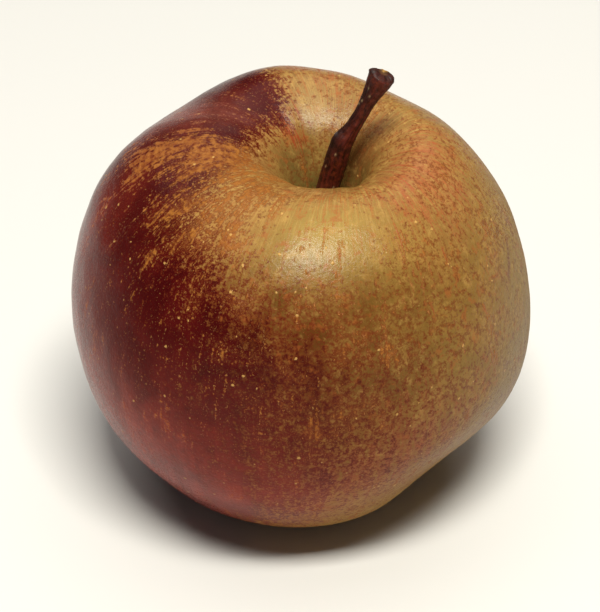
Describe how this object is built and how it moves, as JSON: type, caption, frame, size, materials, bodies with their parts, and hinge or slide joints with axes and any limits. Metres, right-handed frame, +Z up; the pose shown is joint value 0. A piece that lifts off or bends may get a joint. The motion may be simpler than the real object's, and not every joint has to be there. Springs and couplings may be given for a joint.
{
  "type": "boskoop apple",
  "caption": "Broad, ribbed eating and cooking apple with a leaning woody stalk in its stalk cavity and a dried calyx in its eye basin.",
  "frame": {"origin": "on the surface the apple stands on, under the middle of its bounding box", "axes": "+Z up through the stalk cavity, -Y towards the side seen in the picture, +X to the picture's right, the way the stalk leans"},
  "size_m": [0.0804, 0.0796, 0.0805],
  "materials": {
    "skin": "satin",
    "stalk_bark": "satin",
    "dried_sepal": "matt"
  },
  "bodies": {
    "root": {"fruit": "skin", "stalk": "stalk_bark", "calyx": "dried_sepal"}
  },
  "joints": []
}
